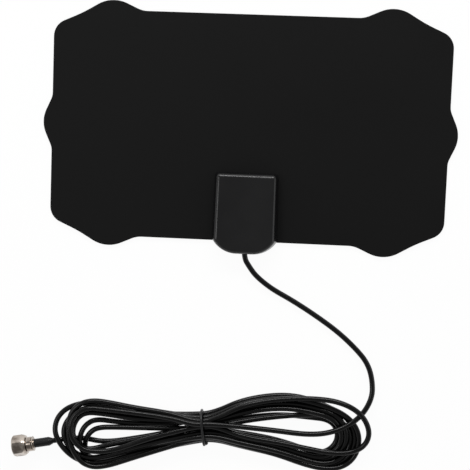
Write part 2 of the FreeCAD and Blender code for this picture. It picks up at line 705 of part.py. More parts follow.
def shrink_sleeve():
    """Shrunk tube over the barrel, drawn in to the cable at its rear."""
    cable_bore = CABLE_DIAMETER / 2 + PLUG_FIT
    outer = BARREL_DIAMETER / 2 + PLUG_FIT + SLEEVE_WALL
    return along_plug(turned([
        (NECK_END, BARREL_DIAMETER / 2 + PLUG_FIT),
        (NECK_END, outer),
        (SLEEVE_END - SLEEVE_TAPER, outer),
        (SLEEVE_END, cable_bore + SLEEVE_LIP),
        (SLEEVE_END, cable_bore),
        (BARREL_END + PLUG_FIT, cable_bore),
        (BARREL_END + PLUG_FIT, BARREL_DIAMETER / 2 + PLUG_FIT),
    ]))


def connector_insulator():
    """Plastic bush that centres the pin in the post."""
    return along_plug(turned([
        (POST_FLANGE_START, CENTRE_PIN_TAIL_DIAMETER / 2 + PLUG_FIT),
        (POST_FLANGE_START, INSULATOR_DIAMETER / 2),
        (POST_END, INSULATOR_DIAMETER / 2),
        (POST_END, CENTRE_PIN_TAIL_DIAMETER / 2 + PLUG_FIT),
    ]))


def centre_pin():
    """Centre contact: it ends just inside the nut's mouth, and its thinner tail is held by the bush."""
    radius = CENTRE_PIN_DIAMETER / 2
    return along_plug(turned([
        (CENTRE_PIN_RECESS, 0),
        (CENTRE_PIN_RECESS, radius - CENTRE_PIN_TIP),
        (CENTRE_PIN_RECESS + CENTRE_PIN_TIP, radius),
        (POST_FLANGE_START, radius),
        (POST_FLANGE_START, CENTRE_PIN_TAIL_DIAMETER / 2),
        (POST_END, CENTRE_PIN_TAIL_DIAMETER / 2),
        (POST_END, 0),
    ]))


def coax_tail():
    """Last stretch of the coax, from the barrel through the sleeve into the hank."""
    start = POST_END + 2 * PLUG_FIT
    length = SLEEVE_END + 3 * CABLE_DIAMETER - start
    return along_plug(Part.makeCylinder(CABLE_DIAMETER / 2, length, vector(start, 0), vector(1, 0)))


def across_hank(shape):
    """Put a solid made about the origin across the hank's waist, with X along the bundle."""
    turn = FreeCAD.Rotation(vector(0, 0, 1), TIE_ANGLE)
    shape.Placement = FreeCAD.Placement(vector(TIE_X, TIE_Y, 0), turn)
    return shape


def cable_hank():
    """Outer shape of the tied turns, with its two eyes and a groove that lets the tie round its waist."""
    hank = slab(HANK_OUTLINE, 0.0, HANK_HEIGHT)
    for eye in HANK_EYES:
        hank = hank.cut(slab(eye, 0.0, HANK_HEIGHT))
    rim = [e for e in hank.Edges if e.BoundBox.ZMin > HANK_HEIGHT - TOUCH]
    hank = hank.makeFillet(HANK_EDGE_RADIUS, rim)
    groove = TIE_WIRE + 2 * TIE_CLEARANCE
    waist = TIE_SPAN - 2 * groove
    waist_height = HANK_HEIGHT - groove
    band = Part.makeBox(groove, 2 * TIE_SPAN, HANK_HEIGHT, vector(-groove / 2, -TIE_SPAN, 0))
    core = Part.makeBox(groove, waist, waist_height, vector(-groove / 2, -waist / 2, groove))
    long_edges = [e for e in core.Edges if e.BoundBox.XLength > groove / 2]
    core = core.makeFillet(TIE_CORNER_RADIUS - TIE_WIRE, long_edges)
    return hank.cut(across_hank(band.cut(core)))


def twist_tie():
    """Covered wire drawn round the waist of the hank, with its twisted ends at the lower side."""
    half = (TIE_SPAN - TIE_WIRE) / 2
    low = TIE_WIRE / 2
    high = HANK_HEIGHT + TIE_CLEARANCE + TIE_WIRE / 2
    corners = [(-half, low), (half, low), (half, high), (-half, high)]
    path = closed_loop([vector(0, y, z) for y, z in corners], [TIE_CORNER_RADIUS] * len(corners))
    start = vector(0, -half, high - TIE_CORNER_RADIUS)
    section = Part.Wire(Part.makeCircle(TIE_WIRE / 2, start, vector(0, 0, -1)))
    loop = path.makePipeShell([section], True, False)
    twist_start = vector(0, -half, HANK_HEIGHT / 2)
    twist = Part.makeCylinder(TIE_TWIST_DIAMETER / 2, TIE_TWIST, twist_start, vector(0, -1, 0))
    return across_hank(loop.fuse(twist))


NODES = {
    "front_sheet": film(FRONT_FILM_Z),
    "back_sheet": back_sheet(),
    "element_left": element(-1),
    "element_right": element(1),
    "front_cover": front_cover(),
    "rear_cover": rear_cover(),
    "matching_board": matching_board(),
    "feed_rivets": feed_rivets(),
    "balun_core": balun_core(),
    "balun_winding": balun_winding(),
    "cable_collar": cable_collar(),
    "cable_insulator": cable_insulator(),
    "cable_conductor": cable_conductor(),
    "coax_lead": coax_lead(),
    "cable_hank": cable_hank(),
    "twist_tie": twist_tie(),
    "coax_tail": coax_tail(),
    "shrink_sleeve": shrink_sleeve(),
    "connector_body": connector_body(),
    "connector_post": connector_post(),
    "connector_insulator": connector_insulator(),
    "centre_pin": centre_pin(),
    "coupling_nut": coupling_nut(),
}

os.makedirs("parts", exist_ok=True)
for name, shape in NODES.items():
    shape.exportStep(f"parts/{name}.step")
    print(name, "solids", len(shape.Solids), "valid", shape.isValid(), "volume", round(shape.Volume, 2))
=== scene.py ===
# %% [markdown]
# # A flat indoor TV antenna
# The real object is a thin black plastic sheet with a wavy edge. A small two-part housing is pinned through
# the sheet at its foot, and about three metres of thin coaxial cable leave the housing. The cable is sold
# folded into a hank with a wire tie round its waist, and it ends in a connector with a loose hex nut.
# The solids come ready from the CAD model. This lesson adds what solids can't say: the loose turns of the
# cable, the twisted wire of the tie, the thread in the nut, and a finish for each material.

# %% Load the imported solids
import json
import math

import bpy
import numpy as np
from mathutils import Color, Matrix, Vector


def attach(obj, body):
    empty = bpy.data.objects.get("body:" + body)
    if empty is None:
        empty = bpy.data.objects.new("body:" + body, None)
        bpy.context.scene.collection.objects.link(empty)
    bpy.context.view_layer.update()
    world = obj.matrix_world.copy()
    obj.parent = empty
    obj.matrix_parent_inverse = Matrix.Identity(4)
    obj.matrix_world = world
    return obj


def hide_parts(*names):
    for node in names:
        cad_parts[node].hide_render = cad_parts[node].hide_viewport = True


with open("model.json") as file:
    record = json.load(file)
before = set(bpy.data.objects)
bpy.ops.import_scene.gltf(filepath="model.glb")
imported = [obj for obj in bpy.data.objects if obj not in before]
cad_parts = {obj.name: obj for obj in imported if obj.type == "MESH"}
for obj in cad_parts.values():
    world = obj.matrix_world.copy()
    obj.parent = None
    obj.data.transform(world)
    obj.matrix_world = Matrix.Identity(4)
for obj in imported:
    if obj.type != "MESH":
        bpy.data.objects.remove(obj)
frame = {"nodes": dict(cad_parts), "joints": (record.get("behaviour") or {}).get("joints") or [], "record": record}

MM = 0.001
scene = bpy.context.scene
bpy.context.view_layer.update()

# %% [markdown]
# ## The camera
# The photograph looks almost straight down at the antenna from about 0.7 m, a little from the right, and it
# is turned by two degrees. A camera could be placed by eye, but a place, a point to look at and a roll are
# three plain facts that can be measured from the photograph and checked against the render.

# %% Camera at the photograph's angle
PHOTO_PIXELS = 470
FOCAL_PIXELS = 1250.0
SENSOR_MM = 36.0
NEAREST_SEEN = 0.01  # metres
CAMERA_AT = Vector((39.5, 17.47, 710.06)) * MM
LOOKS_AT = Vector((-5.61, -59.87, 0.0)) * MM
CAMERA_ROLL = math.radians(2.13)

lens = bpy.data.cameras.new("photo_camera")
lens.sensor_fit = "HORIZONTAL"
lens.sensor_width = SENSOR_MM
lens.lens = FOCAL_PIXELS / PHOTO_PIXELS * SENSOR_MM
lens.clip_start = NEAREST_SEEN
camera = bpy.data.objects.new("photo_camera", lens)
scene.collection.objects.link(camera)
scene.camera = camera

back = (CAMERA_AT - LOOKS_AT).normalized()
right = Vector((0, 1, 0)).cross(back).normalized()
facing = Matrix((right, back.cross(right), back)).transposed().to_4x4()
camera.matrix_world = Matrix.Translation(CAMERA_AT) @ facing @ Matrix.Rotation(CAMERA_ROLL, 4, "Z")
print("camera lens:", round(lens.lens, 2), "mm, height:", round(CAMERA_AT.z, 3), "m")

# %% [markdown]
# ## The cable
# The cable is one length of 3 mm coaxial cable. It leaves the housing's foot, runs over the table in a wide
# bow, crosses the right-hand loops and goes through the tie. Then come seven turns, left and right, and a
# short tail into the connector. A coil could be worked out by a formula, but these turns are loose and each
# is different. On the left nearly every loop can be seen, so each is listed. On the right the loops
# lie close together, so each one is worked out between an outer and an inner loop: every turn has its own
# share between the two, and the turns fan out.

# %% The run from the housing to the tie
CABLE = 3.0  # mm, the cable's diameter
JACKET = 3.12  # mm, the diameter that is drawn, a little wider, as the photograph shows it
LEAD = [
    (0.0, -60.5, 4.0), (0.0, -71.8, 4.0), (3.4, -77.2, 3.7), (7.4, -82.6, 3.0), (16.6, -89.7, 1.8),
    (28.4, -95.7, 1.6), (42.1, -103.8, 1.6), (55.4, -112.7, 1.6), (66.0, -121.9, 1.6), (73.3, -130.1, 1.6),
    (76.6, -139.9, 1.9), (76.9, -150.6, 3.4),
]
LEAD_OVER_LOOPS = [(70.0, -162.2), (56.5, -170.0), (42.0, -172.5), (20.0, -170.5)]
print("lead points:", len(LEAD) + len(LEAD_OVER_LOOPS))

# %% The loops on the left of the tie
# One loop for each turn, mm in plan: out from the tie, round the left end and back to the tie.
LEFT_LOOPS = [
    [(-38.2, -166.2), (-59.8, -164.7), (-78.4, -163.6), (-87.2, -163.5), (-93.2, -166.2), (-96.8, -171.0),
     (-97.6, -176.8), (-95.8, -182.4), (-91.3, -186.8), (-85.4, -189.1), (-71.9, -188.3), (-50.0, -179.2)],
    [(-38.5, -164.3), (-60.1, -162.3), (-74.8, -160.1), (-84.2, -159.4), (-91.7, -161.6), (-96.6, -166.9),
     (-97.9, -174.1), (-97.6, -181.8), (-94.6, -189.8), (-88.8, -196.9), (-78.5, -198.8), (-55.8, -190.0)],
    [(-38.4, -165.0), (-60.1, -163.7), (-80.0, -161.8), (-90.6, -161.7), (-99.9, -165.0), (-105.1, -170.6),
     (-106.3, -177.5), (-103.2, -183.7), (-97.6, -189.3), (-90.7, -193.7), (-80.3, -195.5), (-55.8, -188.1)],
    [(-38.6, -166.2), (-60.3, -165.7), (-78.0, -164.0), (-87.3, -164.5), (-94.9, -167.6), (-100.1, -173.2),
     (-102.2, -179.9), (-100.2, -186.4), (-95.0, -191.8), (-88.1, -194.4), (-77.8, -193.9), (-56.2, -186.4)],
    [(-38.4, -168.9), (-60.1, -169.3), (-77.7, -167.4), (-87.6, -167.0), (-92.8, -169.9), (-95.5, -175.1),
     (-95.4, -180.9), (-92.4, -185.8), (-87.4, -188.4), (-82.4, -188.1), (-74.8, -185.7), (-59.1, -182.1),
     (-41.7, -178.1)],
    [(-38.6, -172.2), (-56.7, -172.7), (-70.6, -172.2), (-82.6, -170.9), (-88.6, -174.2), (-91.8, -180.2),
     (-91.6, -187.2), (-88.0, -192.8), (-82.2, -195.7), (-76.9, -195.6), (-69.1, -193.4), (-56.3, -187.5),
     (-40.6, -181.3)],
    [(-38.6, -173.6), (-55.6, -174.2), (-70.4, -174.6), (-81.5, -175.1), (-86.6, -178.3), (-89.4, -183.7),
     (-89.3, -189.7), (-86.1, -194.7), (-81.0, -197.4), (-76.0, -197.3), (-68.0, -194.8), (-56.4, -189.5),
     (-40.7, -182.5)],
]
print("points in each left loop:", [len(loop) for loop in LEFT_LOOPS])

# %% The loops on the right of the tie
# Two loops, mm in plan: out from the tie, round the right end and back to the tie. The others lie between.
RIGHT_OUTER = [
    (2.0, -182.4), (22.0, -186.0), (40.0, -191.4), (52.0, -193.2), (61.2, -191.4), (67.9, -186.0),
    (70.6, -177.6), (69.2, -169.2), (63.5, -161.4), (50.0, -155.0), (30.0, -150.1), (4.0, -154.4),
]
RIGHT_INNER = [
    (4.0, -174.9), (24.0, -177.8), (43.5, -183.7), (49.5, -184.2), (54.7, -181.5), (58.0, -176.5),
    (58.2, -170.5), (55.3, -165.5), (49.9, -162.8), (42.8, -163.0), (24.0, -163.6), (4.0, -167.0),
]
# The first turn has slipped: its right loop hangs out of the bundle.
SLIPPED_RIGHT = [
    (3.7, -176.0), (24.0, -178.2), (40.0, -180.9), (54.0, -183.1), (66.5, -182.2), (74.2, -177.2),
    (76.4, -168.6), (70.7, -158.2), (58.0, -152.0), (40.0, -151.0), (20.0, -153.0), (2.3, -157.4),
]


def loop_between(outer, inner, shares):
    """Points of one loop: each stands at its share of the way from the outer loop to the inner one."""
    leaving, shoulder_out, bend, shoulder_back, coming_back = shares
    steps = [
        leaving, leaving, (leaving + shoulder_out) / 2, shoulder_out, bend, bend,
        bend, bend, shoulder_back, (shoulder_back + coming_back) / 2, coming_back, coming_back,
    ]
    return [
        (o[0] + (i[0] - o[0]) * s, o[1] + (i[1] - o[1]) * s)
        for o, i, s in zip(outer, inner, steps)
    ]


print("points in each right loop:", len(RIGHT_OUTER))

# %% [markdown]
# ## The waist of the hank
# The tie squeezes fourteen strands into three layers, with the lead on top of them. The strands could be
# left to find their own places there, but then the bundle would be a different one after every change. So
# each strand has a slot in the tie: a distance across the bundle and a layer. Slots are fixed, and the loops
# between them are free to settle.

# %% Slots in the tie
TIE_AT = (-18.7, -172.3)
TIE_TURN = math.radians(6.8)
TIE_REACH = 5.5  # mm that a strand runs straight, on each side of the tie
LAYER_HEIGHTS = (3.0, 5.1, 7.2, 9.3)
LEAD_SLOT = (3.1, 3)


def by_the_tie(along, across, height):
    """A point by the tie: along the bundle, across it, and above the table."""
    x = TIE_AT[0] + along * math.cos(TIE_TURN) - across * math.sin(TIE_TURN)
    y = TIE_AT[1] + along * math.sin(TIE_TURN) + across * math.cos(TIE_TURN)
    return (x, y, height)


def through_tie(slot, going_right):
    """The two points of a strand on its way through the tie."""
    across, layer = slot
    ends = (-TIE_REACH, TIE_REACH) if going_right else (TIE_REACH, -TIE_REACH)
    return [by_the_tie(along, across, LAYER_HEIGHTS[layer]) for along in ends]


print("layers in the tie, with the lead's:", len(LAYER_HEIGHTS))

# %% Points on the connector's axis
# The nut's joint says where the connector is and which way it points.
nut_spin = next(joint for joint in frame["joints"] if joint["name"] == "nut_spin")
PLUG_AT = [v / MM for v in nut_spin["pos_m"]]
PLUG_TURN = math.atan2(nut_spin["axis"][1], nut_spin["axis"][0])


def by_the_plug(station, drop=0.0):
    """A point on the connector's axis, measured from the nut's mouth towards the cable."""
    x = PLUG_AT[0] + station * math.cos(PLUG_TURN)
    y = PLUG_AT[1] + station * math.sin(PLUG_TURN)
    return (x, y, PLUG_AT[2] - drop)


print("connector at:", [round(v, 1) for v in PLUG_AT], "turned:", round(math.degrees(PLUG_TURN), 1))

# %% The seven turns, from the housing to the connector
# Each row: the slot going right, the right loop's shares, the slot going left.
TURNS = [
    ((1.5, 2), None, (4.6, 2)),
    ((-6.1, 1), (0.15, 0.08, 0.00, 0.05, 0.13), (6.1, 1)),
    ((-7.6, 0), (0.00, 0.10, 0.20, 0.10, 0.00), (7.9, 0)),
    ((-3.1, 1), (0.60, 0.68, 0.75, 0.66, 0.56), (3.1, 1)),
    ((-4.6, 0), (0.45, 0.50, 0.55, 0.48, 0.40), (4.6, 0)),
    ((-4.6, 2), (0.30, 0.35, 0.40, 0.62, 1.00), (0.0, 1)),
    ((-1.5, 0), (1.00, 1.00, 1.00, 0.95, 0.85), (1.5, 0)),
]
TAIL = [(-38.5, -177.0), (-60.1, -182.4), (-77.7, -185.9), (-89.6, -183.6)]
# Where the tail runs into the connector: stations on its axis, and how far the cable still sags there
INTO_PLUG = [(29.0, 0.3), (20.0, 0.0), (12.0, 0.0)]


def free(points):
    """Points whose height isn't settled yet."""
    return [(x, y, None) for x, y in points]


route = list(LEAD) + free(LEAD_OVER_LOOPS) + through_tie(LEAD_SLOT, going_right=False)
for left_loop, (slot_right, right_shares, slot_left) in zip(LEFT_LOOPS, TURNS):
    route += free(left_loop)
    route += through_tie(slot_right, going_right=True)
    if right_shares:
        right_loop = loop_between(RIGHT_OUTER, RIGHT_INNER, right_shares)
    else:
        right_loop = SLIPPED_RIGHT
    route += free(right_loop)
    route += through_tie(slot_left, going_right=False)
route += free(TAIL) + [by_the_plug(station, sag) for station, sag in INTO_PLUG]
print("turns:", len(TURNS), "control points:", len(route))

# %% [markdown]
# ## Letting the turns settle
# Drawn flat, the turns would run through each other. A physics simulation could drop them on the table, but
# it is slow and hard to steer. Instead the strands start as a ramp, the lead on top because it was wound
# last, and a short loop lets them sink. Wherever two strands come closer than a slightly pressed diameter
# they push each other apart, so they come to rest beside and on one another, and cross in long low humps.

# %% Where the line runs between its control points
# A quadratic spline passes each control point at these shares of it and its two neighbours.
BESIDE_POINT = (0.125, 0.75, 0.125)
MIDWAY = 0.5
START_RAMP = 12.0  # mm, from the lead down to the tail


def line_shares(count):
    """What each control point adds to the line, beside each point and midway to the next."""
    shares = np.zeros((2 * count - 1, count))
    for i in range(count):
        shares[2 * i, i] = 1.0
        if 0 < i < count - 1:
            shares[2 * i, i - 1:i + 2] = BESIDE_POINT
        if i < count - 1:
            shares[2 * i + 1, i:i + 2] = MIDWAY
    return shares


count = len(route)
drawn = np.array([
    (x, y, CABLE / 2 + START_RAMP * (count - i) / count if z is None else z)
    for i, (x, y, z) in enumerate(route)
])
shares = line_shares(count)
print("control points:", count, "places on the line:", len(shares))

# %% How close the strands lie
PRESSED = 0.92  # share of the diameter at which two soft jackets rest on each other
GAP = PRESSED * CABLE
NEIGHBOURS = 5  # pieces of the line that are fewer steps apart than this can't touch
TINY = 1e-9


def near_misses(line):
    """Pairs of pieces of the line that come close, where on each piece, and the gap between them."""
    step = np.diff(line, axis=0)
    middle = line[:-1] + step / 2
    reach = np.linalg.norm(step, axis=1) / 2
    a, b = np.triu_indices(len(step), NEIGHBOURS)
    close = np.linalg.norm(middle[a] - middle[b], axis=1) < reach[a] + reach[b] + GAP
    a, b = a[close], b[close]
    apart = line[a] - line[b]
    aa = (step[a] * step[a]).sum(1)
    ab = (step[a] * step[b]).sum(1)
    bb = (step[b] * step[b]).sum(1)
    da = (step[a] * apart).sum(1)
    db = (step[b] * apart).sum(1)
    on_a = np.clip((ab * db - bb * da) / np.maximum(aa * bb - ab * ab, TINY), 0, 1)
    on_b = np.clip((ab * on_a + db) / bb, 0, 1)
    on_a = np.clip((ab * on_b - da) / aa, 0, 1)
    return a, b, on_a, on_b, apart + step[a] * on_a[:, None] - step[b] * on_b[:, None]


print("pieces close to each other at the start:", len(near_misses(shares @ drawn)[0]))

# %% How touching strands push
LEAST_DISTANCE = 1e-3  # mm, for two lines that cross


def pushes(line):
    """How far each place on the line is pushed by the strands that it touches."""
    a, b, on_a, on_b, gap = near_misses(line)
    distance = np.linalg.norm(gap, axis=1)
    touch = distance < GAP
    a, b, on_a, on_b = a[touch], b[touch], on_a[touch], on_b[touch]
    gap, distance = gap[touch], np.maximum(distance[touch], LEAST_DISTANCE)
    push = gap * ((GAP - distance) / distance / 2)[:, None]
    moves = np.zeros_like(line)
    weight = np.zeros(len(line))
    for end, part, sign in ((a, 1 - on_a, 1), (a + 1, on_a, 1), (b, 1 - on_b, -1), (b + 1, on_b, -1)):
        np.add.at(moves, end, sign * push * part[:, None])
        np.add.at(weight, end, part)
    return moves / np.maximum(weight, 1)[:, None]


print("pushed at the start by at most:", round(np.abs(pushes(shares @ drawn)).max(), 1), "mm")

# %% Sink the turns on to the table
ROUNDS = 250
SINK = 0.10  # mm a round at first, and nothing at the end
STIFFNESS = 0.15  # share of a kink that is evened out in a round
HOLD = 0.02  # share of a move in plan that is taken back in a round
SOFTEN = 1.6  # divides the pushes, so that crowded strands don't jump

loose = np.array([point[2] is None for point in route])
settled = drawn.copy()
pull = (shares / (shares * shares).sum(1, keepdims=True)).T / SOFTEN
for step_number in range(ROUNDS):
    change = pull @ pushes(shares @ settled)
    change[:, 2] -= SINK * (1 - step_number / ROUNDS)
    change[1:-1, 2] += STIFFNESS * ((settled[:-2, 2] + settled[2:, 2]) / 2 - settled[1:-1, 2])
    aside = settled[:, :2] - drawn[:, :2]
    change[1:-1, :2] += STIFFNESS * ((aside[:-2] + aside[2:]) / 2 - aside[1:-1])
    change[:, :2] -= HOLD * aside
    settled[loose] += change[loose]
    settled[loose, 2] = np.maximum(settled[loose, 2], JACKET / 2)

print("hank height:", round(settled[:, 2].max() + CABLE / 2, 1), "mm")
print("moved in plan by at most:", round(np.abs(settled - drawn)[:, :2].max(), 1), "mm")

# %% [markdown]
# ## One spline for the whole cable
# The cable has no joint from end to end, so it is one open NURBS spline with a round bevel. A mesh tube
# would look the same, but a spline keeps the line that the cable follows, so its length can be measured.
# Order three keeps the line close to its points, and its ends are pinned to the first and the last point.

# %% The cable's spline
BEVEL_STEPS = 7
RUN_STEPS = 8

cable_curve = bpy.data.curves.new("coax_cable", "CURVE")
cable_curve.dimensions = "3D"
cable_curve.bevel_depth = JACKET / 2 * MM
cable_curve.bevel_resolution = BEVEL_STEPS
cable_curve.resolution_u = RUN_STEPS
cable_curve.use_fill_caps = True
spline = cable_curve.splines.new("NURBS")
spline.points.add(count - 1)
for point, place in zip(spline.points, settled):
    point.co = (*(float(v) * MM for v in place), 1.0)
spline.order_u = 3
spline.use_endpoint_u = True
cable = bpy.data.objects.new("coax_cable", cable_curve)
scene.collection.objects.link(cable)
print("cable length:", round(spline.calc_length(), 3), "m")

# %% [markdown]
# ## Shared effects for the finishes
# Almost everything here is black plastic, and black plastic is told apart by its grain and its sheen. Each
# material could have its own noise nodes, but they would be the same nodes many times. So one shader group
# makes the grain of a moulded or drawn surface: a fine noise for the texture and a broad one for slow
# changes of colour and gloss. A second group makes the fine turning marks of plated metal. Each material
# places a group with its own sizes and colours.

# %% Helpers for shader groups
FLOAT, VECTOR, COLOUR = "NodeSocketFloat", "NodeSocketVector", "NodeSocketColor"
SURFACE_IN = [
    ("Vector", VECTOR), ("Grain", FLOAT), ("Patches", FLOAT), ("Dark", COLOUR), ("Light", COLOUR),
    ("Smooth", FLOAT), ("Rough", FLOAT),
]
SURFACE_OUT = [("Colour", COLOUR), ("Roughness", FLOAT), ("Height", FLOAT)]


def start_group(name):
    """A shader group with the inputs and outputs of a surface."""
    group = bpy.data.node_groups.new(name, "ShaderNodeTree")
    for label, kind in SURFACE_IN:
        group.interface.new_socket(label, in_out="INPUT", socket_type=kind)
    for label, kind in SURFACE_OUT:
        group.interface.new_socket(label, in_out="OUTPUT", socket_type=kind)
    return group, group.nodes.new("NodeGroupInput"), group.nodes.new("NodeGroupOutput")


def noise(group, vector, scale, detail):
    """A noise texture whose scale comes from a socket."""
    node = group.nodes.new("ShaderNodeTexNoise")
    node.inputs["Detail"].default_value = detail
    group.links.new(vector, node.inputs["Vector"])
    group.links.new(scale, node.inputs["Scale"])
    return node.outputs["Fac"]


print("a surface group takes:", [label for label, kind in SURFACE_IN])

# %% From noise to colour and gloss
NOISE_LOW, NOISE_HIGH = 0.3, 0.7  # most of a noise's values lie between these


def map_range(group, value, low, high):
    """A Map Range node that spreads the values from low to high over 0 to 1."""
    node = group.nodes.new("ShaderNodeMapRange")
    node.inputs["From Min"].default_value = low
    node.inputs["From Max"].default_value = high
    group.links.new(value, node.inputs["Value"])
    return node


def end_group(group, into, out, colour_share, gloss, height):
    """Leads a blend of the two colours, a range of roughness and the height to the group's outputs."""
    mix = group.nodes.new("ShaderNodeMix")
    mix.data_type = "RGBA"
    group.links.new(colour_share, mix.inputs["Factor"])
    group.links.new(into.outputs["Dark"], mix.inputs["A"])
    group.links.new(into.outputs["Light"], mix.inputs["B"])
    roughness = map_range(group, gloss, NOISE_LOW, NOISE_HIGH)
    group.links.new(into.outputs["Smooth"], roughness.inputs["To Min"])
    group.links.new(into.outputs["Rough"], roughness.inputs["To Max"])
    group.links.new(mix.outputs["Result"], out.inputs["Colour"])
    group.links.new(roughness.outputs["Result"], out.inputs["Roughness"])
    group.links.new(height, out.inputs["Height"])


print("a surface group gives:", [label for label, kind in SURFACE_OUT])

# %% Grain of plastic
plastic_grain, into, out = start_group("plastic_grain")
fine = noise(plastic_grain, into.outputs["Vector"], into.outputs["Grain"], detail=3.0)
broad = noise(plastic_grain, into.outputs["Vector"], into.outputs["Patches"], detail=2.0)
both = plastic_grain.nodes.new("ShaderNodeMath")
both.operation = "ADD"
plastic_grain.links.new(fine, both.inputs[0])
plastic_grain.links.new(broad, both.inputs[1])
spread = map_range(plastic_grain, both.outputs[0], 2 * NOISE_LOW, 2 * NOISE_HIGH)
end_group(plastic_grain, into, out, spread.outputs["Result"], gloss=broad, height=fine)
print(plastic_grain.name, "nodes:", len(plastic_grain.nodes))

# %% Turning marks of metal
MARK_STRETCH = (1.0, 0.08, 0.08)  # close along the connector's axis, long round it
STAIN_LOW, STAIN_HIGH = 0.35, 0.65

metal_marks, into, out = start_group("metal_marks")
stretch = metal_marks.nodes.new("ShaderNodeMapping")
stretch.inputs["Rotation"].default_value = (0.0, 0.0, -PLUG_TURN)
stretch.inputs["Scale"].default_value = MARK_STRETCH
metal_marks.links.new(into.outputs["Vector"], stretch.inputs["Vector"])
marks = noise(metal_marks, stretch.outputs["Vector"], into.outputs["Grain"], detail=4.0)
stains = noise(metal_marks, into.outputs["Vector"], into.outputs["Patches"], detail=3.0)
clearer = map_range(metal_marks, stains, STAIN_LOW, STAIN_HIGH)
end_group(metal_marks, into, out, clearer.outputs["Result"], gloss=marks, height=marks)
print(metal_marks.name, "nodes:", len(metal_marks.nodes))

# %% [markdown]
# ## The finishes
# A finish is one Principled shader with a group in front of it. The group gives the changing colour,
# roughness and height, and whatever is the same all over is set on the shader itself. The sheet is dull
# film, the housing is moulded with a sheen, the cable's jacket is smooth and glossy, and the tie and the
# sleeve lie between them. The connector is nickel plate. The metals, the board and the ferrite inside can't
# be seen from outside, but they have their own finishes for a reader who opens the model.

# %% A finish from a group
SCREEN_WHITE = 255
RELIEF = 0.0001  # metres from the bottom to the top of the grain
finishes = {}


def linear(screen_colour):
    """A screen colour, 0 to 255, as the linear colour that a shader wants."""
    colour = Color([value / SCREEN_WHITE for value in screen_colour])
    return (*colour.from_srgb_to_scene_linear(), 1.0)


def finish(name, group, *, grain, patches, dark, light, smooth, rough, bump, metallic=0.0, sheen=0.5):
    """A material: the group's colour, roughness and height on a Principled shader."""
    material = bpy.data.materials.new(name)
    material.use_nodes = True
    nodes, links = material.node_tree.nodes, material.node_tree.links
    shader = nodes["Principled BSDF"]
    shader.inputs["Metallic"].default_value = metallic
    shader.inputs["Specular IOR Level"].default_value = sheen
    where = nodes.new("ShaderNodeTexCoord")
    surface = nodes.new("ShaderNodeGroup")
    surface.node_tree = group
    values = {"Grain": grain, "Patches": patches, "Dark": linear(dark), "Light": linear(light),
              "Smooth": smooth, "Rough": rough}
    for label, value in values.items():
        surface.inputs[label].default_value = value
    relief = nodes.new("ShaderNodeBump")
    relief.inputs["Strength"].default_value = bump
    relief.inputs["Distance"].default_value = RELIEF
    links.new(where.outputs["Object"], surface.inputs["Vector"])
    links.new(surface.outputs["Colour"], shader.inputs["Base Color"])
    links.new(surface.outputs["Roughness"], shader.inputs["Roughness"])
    links.new(surface.outputs["Height"], relief.inputs["Height"])
    links.new(relief.outputs["Normal"], shader.inputs["Normal"])
    finishes[name] = material


print("middle grey on the screen is", round(linear((128, 128, 128))[0], 3), "of white in linear light")

# %% Black plastics
finish("sheet_film", plastic_grain, grain=2200.0, patches=14.0, dark=(8, 8, 8), light=(13, 13, 13),
       smooth=0.58, rough=0.70, bump=0.25, sheen=0.14)
finish("housing_plastic", plastic_grain, grain=1500.0, patches=40.0, dark=(10, 10, 11), light=(15, 15, 16),
       smooth=0.21, rough=0.30, bump=0.30, sheen=0.42)
finish("cable_jacket", plastic_grain, grain=900.0, patches=60.0, dark=(5, 5, 5), light=(8, 8, 8),
       smooth=0.14, rough=0.20, bump=0.02, sheen=0.26)
finish("tie_cover", plastic_grain, grain=1200.0, patches=150.0, dark=(11, 11, 12), light=(18, 18, 19),
       smooth=0.28, rough=0.40, bump=0.20, sheen=0.36)
finish("sleeve_black", plastic_grain, grain=700.0, patches=120.0, dark=(9, 9, 10), light=(15, 15, 16),
       smooth=0.32, rough=0.44, bump=0.30, sheen=0.21)
print("black finishes:", list(finishes))

# %% Metals
finish("nickel_plate", metal_marks, grain=2600.0, patches=220.0, dark=(132, 122, 113), light=(204, 194, 184),
       smooth=0.09, rough=0.20, bump=0.20, metallic=1.0)
finish("pin_brass", metal_marks, grain=2600.0, patches=500.0, dark=(190, 150, 84), light=(222, 188, 120),
       smooth=0.18, rough=0.34, bump=0.20, metallic=1.0)
finish("rivet_brass", metal_marks, grain=1800.0, patches=400.0, dark=(176, 138, 76), light=(208, 172, 104),
       smooth=0.26, rough=0.44, bump=0.20, metallic=1.0)
finish("foil", metal_marks, grain=900.0, patches=60.0, dark=(198, 199, 201), light=(226, 227, 229),
       smooth=0.22, rough=0.42, bump=0.15, metallic=1.0)
finish("copper_wire", metal_marks, grain=1800.0, patches=400.0, dark=(176, 98, 62), light=(206, 128, 86),
       smooth=0.24, rough=0.40, bump=0.15, metallic=1.0)
finish("crimp_steel", metal_marks, grain=1600.0, patches=260.0, dark=(150, 150, 150), light=(186, 186, 184),
       smooth=0.28, rough=0.46, bump=0.25, metallic=1.0)
print("finishes with the metals:", len(finishes))

# %% Other parts inside
finish("ferrite", plastic_grain, grain=2600.0, patches=300.0, dark=(40, 40, 41), light=(62, 61, 60),
       smooth=0.60, rough=0.78, bump=0.50)
finish("circuit_board", plastic_grain, grain=1800.0, patches=120.0, dark=(18, 72, 42), light=(32, 96, 58),
       smooth=0.28, rough=0.42, bump=0.12)
finish("dielectric", plastic_grain, grain=900.0, patches=200.0, dark=(222, 220, 210), light=(238, 237, 230),
       smooth=0.36, rough=0.50, bump=0.10)
print("finishes in all:", len(finishes))

# %% Give each solid its finish
# The record names a material slot for each solid, and the finishes have the slots' names.
for row in frame["record"]["subparts"]:
    solid = frame["nodes"][row["node"]].data
    solid.materials.clear()
    solid.materials.append(finishes[row["material_slot"]])
cable_curve.materials.append(finishes["cable_jacket"])

